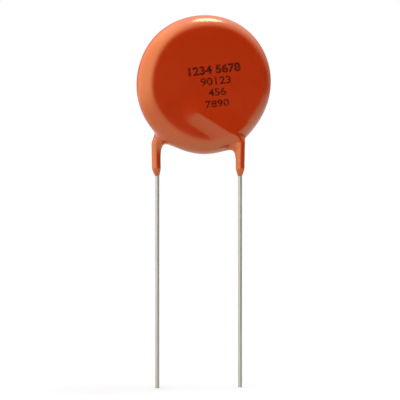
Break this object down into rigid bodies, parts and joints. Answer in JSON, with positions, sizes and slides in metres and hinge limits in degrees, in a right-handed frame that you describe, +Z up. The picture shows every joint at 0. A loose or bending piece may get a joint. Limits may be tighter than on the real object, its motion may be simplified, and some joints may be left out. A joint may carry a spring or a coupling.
{
  "type": "ceramic disc capacitor",
  "caption": "Radial ceramic disc capacitor: glossy orange dipped disc with coated legs and long straight tinned leads.",
  "frame": {"origin": "midway between the two leads, on the seating plane that the lower ends of the coated legs touch", "axes": "+Z up along the leads towards the disc, X from lead to lead, -Y out of the disc's front face"},
  "size_m": [0.022, 0.0048, 0.0589],
  "materials": {
    "coating": "orange dipped epoxy coating, glossy, slightly wavy",
    "ceramic": "unglazed sintered titanate ceramic, matt",
    "fired_silver": "screen-printed silver, fired on, satin",
    "solder": "reflowed tin-lead solder, bright and slightly wavy",
    "tinned_wire": "tinned copper wire, smooth and slightly dull"
  },
  "bodies": {
    "root": {"coating": "coating", "ceramic_disc": "ceramic", "front_electrode": "fired_silver", "back_electrode": "fired_silver", "front_solder": "solder", "back_solder": "solder", "front_lead": "tinned_wire", "back_lead": "tinned_wire"}
  },
  "joints": []
}
